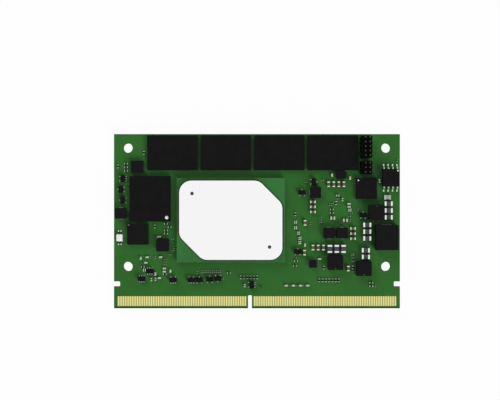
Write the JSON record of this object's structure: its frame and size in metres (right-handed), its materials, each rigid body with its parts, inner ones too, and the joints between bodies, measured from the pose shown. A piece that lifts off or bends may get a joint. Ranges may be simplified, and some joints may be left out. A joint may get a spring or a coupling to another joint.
{
  "type": "system on module",
  "caption": "Computer module: a green card with a keyed gold contact edge, a lidded processor, memory chips, pin headers and a power section.",
  "frame": {"origin": "below the middle of the card, level with the underside capacitors that the module rests on", "axes": "+X along the contact edge, +Y from the contact edge to the far edge, +Z out of the component side"},
  "size_m": [0.082, 0.05, 0.006],
  "materials": {
    "solder_mask": "green solder mask over glass-epoxy laminate, satin gloss",
    "gold_plating": "hard gold plating, smooth",
    "package_substrate": "lighter green solder mask, satin",
    "nickel_lid": "pale nickel plating, fine matt",
    "silicon": "dark polished silicon",
    "thermal_pad": "soft grey thermal paste",
    "solder": "bright solder",
    "mould_compound": "black epoxy moulding compound, fine matt",
    "tinned_leads": "matt tin plating",
    "header_plastic": "black moulded nylon",
    "header_pins": "dull plated pins",
    "iron_powder": "dark grey pressed iron powder",
    "grey_ceramic": "grey fired ceramic",
    "beige_ceramic": "brown-beige fired ceramic",
    "pale_ceramic": "pale fired ceramic",
    "resistor_glaze": "black glass glaze",
    "chip_terminals": "bright tinned ends",
    "lamp_plastic": "white moulded housing",
    "fuse_ceramic": "pale grey ceramic"
  },
  "bodies": {
    "root": {"circuit_board": "solder_mask", "top_contacts": "gold_plating", "bottom_contacts": "gold_plating", "processor_substrate": "package_substrate", "processor_lid": "nickel_lid", "processor_die": "silicon", "thermal_interface": "thermal_pad", "processor_balls": "solder", "memory_balls": "solder", "flash_balls": "solder", "controller_pads": "solder", "memory_chip_1": "mould_compound", "memory_chip_2": "mould_compound", "memory_chip_3": "mould_compound", "memory_chip_4": "mould_compound", "flash_chip": "mould_compound", "left_controller": "mould_compound", "right_controller": "mould_compound", "small_controller": "mould_compound", "boot_flash": "mould_compound", "regulator": "mould_compound", "transistors": "mould_compound", "boot_flash_leads": "tinned_leads", "regulator_leads": "tinned_leads", "transistor_leads": "tinned_leads", "indicator_lamp_leads": "tinned_leads", "main_inductor_terminals": "tinned_leads", "moulded_inductor_terminals": "tinned_leads", "wound_inductor_terminals": "tinned_leads", "round_inductor_terminals": "tinned_leads", "choke_terminals": "tinned_leads", "long_header": "header_plastic", "short_header": "header_plastic", "long_header_pins": "header_pins", "short_header_pins": "header_pins", "main_inductor": "iron_powder", "moulded_inductors": "iron_powder", "wound_inductors": "iron_powder", "round_inductor": "iron_powder", "choke": "iron_powder", "large_capacitors": "grey_ceramic", "medium_capacitors": "beige_ceramic", "tiny_chips": "beige_ceramic", "underside_capacitors": "beige_ceramic", "small_capacitors": "pale_ceramic", "resistors": "resistor_glaze", "chip_arrays": "resistor_glaze", "large_capacitor_terminals": "chip_terminals", "medium_capacitor_terminals": "chip_terminals", "small_capacitor_terminals": "chip_terminals", "resistor_terminals": "chip_terminals", "tiny_chip_terminals": "chip_terminals", "chip_array_terminals": "chip_terminals", "chip_fuse_terminals": "chip_terminals", "underside_capacitor_terminals": "chip_terminals", "indicator_lamp": "lamp_plastic", "chip_fuse": "fuse_ceramic"}
  },
  "joints": []
}
